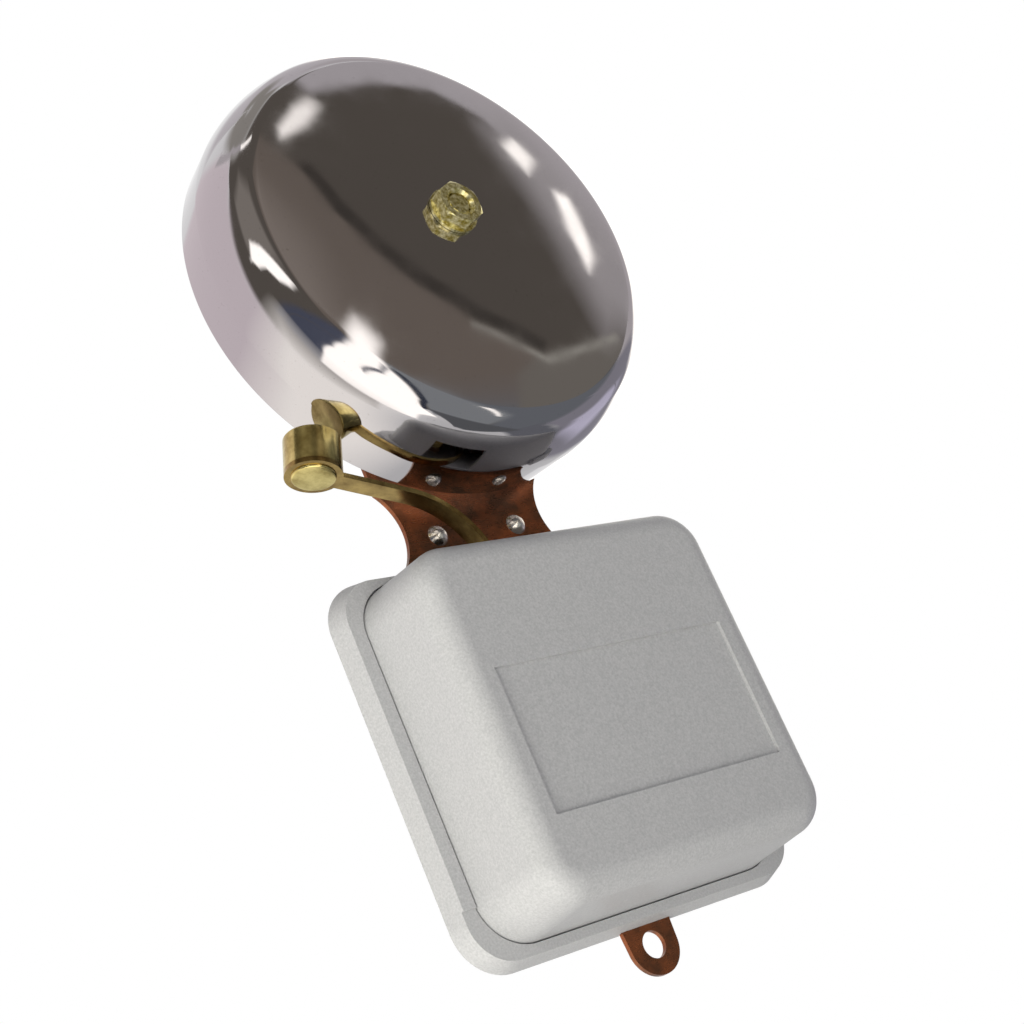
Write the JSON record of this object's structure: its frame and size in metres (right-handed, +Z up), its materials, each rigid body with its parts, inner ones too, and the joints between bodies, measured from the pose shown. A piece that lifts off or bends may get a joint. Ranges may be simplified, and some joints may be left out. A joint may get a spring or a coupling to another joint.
{
  "type": "enclosed electric bell",
  "caption": "Wall bell with a chromed gong above a grey covered make-and-break mechanism and a side striker on a bent arm.",
  "frame": {"origin": "centre of the screw hole in the lower lug, on the wall face", "axes": "+X to the right seen from the front, +Z up the wall, +Y into the wall, so the front faces -Y"},
  "size_m": [0.0762, 0.029, 0.1525],
  "materials": {
    "copper_washed_steel": "satin",
    "grey_moulding": "fine grain",
    "chrome_gong": "polished",
    "nickel_steel": "polished",
    "yellow_zinc_steel": "yellow passivated zinc",
    "zinc_steel": "bright zinc",
    "brass": "satin",
    "bronze": "rolled",
    "silver": "polished",
    "soft_iron": "zinc flash",
    "spring_steel": "blued",
    "enamelled_copper": "enamelled wire",
    "bobbin_plastic": "natural",
    "phenolic": "moulded"
  },
  "bodies": {
    "frame_and_gong": {"chassis_plate": "copper_washed_steel", "gong_bracket": "copper_washed_steel", "bracket_rivets": "nickel_steel", "base_tray": "grey_moulding", "cover": "grey_moulding", "cover_screws": "zinc_steel", "gong": "chrome_gong", "gong_post": "yellow_zinc_steel", "gong_washer": "yellow_zinc_steel", "gong_nut": "yellow_zinc_steel", "magnet_yoke": "soft_iron", "magnet_cores": "soft_iron", "coil_bobbins": "bobbin_plastic", "coil_windings": "enamelled_copper", "core_screws": "zinc_steel", "yoke_screws": "zinc_steel", "contact_screw": "brass", "contact_locknut": "brass", "contact_post": "brass", "terminal_block": "phenolic", "terminal_plate": "brass", "terminal_screw": "brass", "contact_post_screw": "brass", "block_screws": "zinc_steel", "spring_post": "zinc_steel", "spring_clamp": "zinc_steel", "clamp_screws": "zinc_steel", "spring_post_screw": "zinc_steel", "coil_leads": "enamelled_copper"},
    "hammer": {"armature": "soft_iron", "armature_spring": "spring_steel", "spring_rivets": "brass", "arm_rivets": "brass", "hammer_arm": "brass", "striker": "brass", "contact_spring": "bronze", "contact_tip": "silver"}
  },
  "joints": [
    {"name": "hammer_swing", "type": "hinge", "parent": "frame_and_gong", "child": "hammer", "pos_m": [-0.00635, -0.0095, 0.014], "axis": [0, 1, 0], "range_deg": [0, 0.72], "stiffness_Nm_per_rad": 0.6, "springref_deg": -0.57, "deforming": ["armature_spring"]}
  ]
}
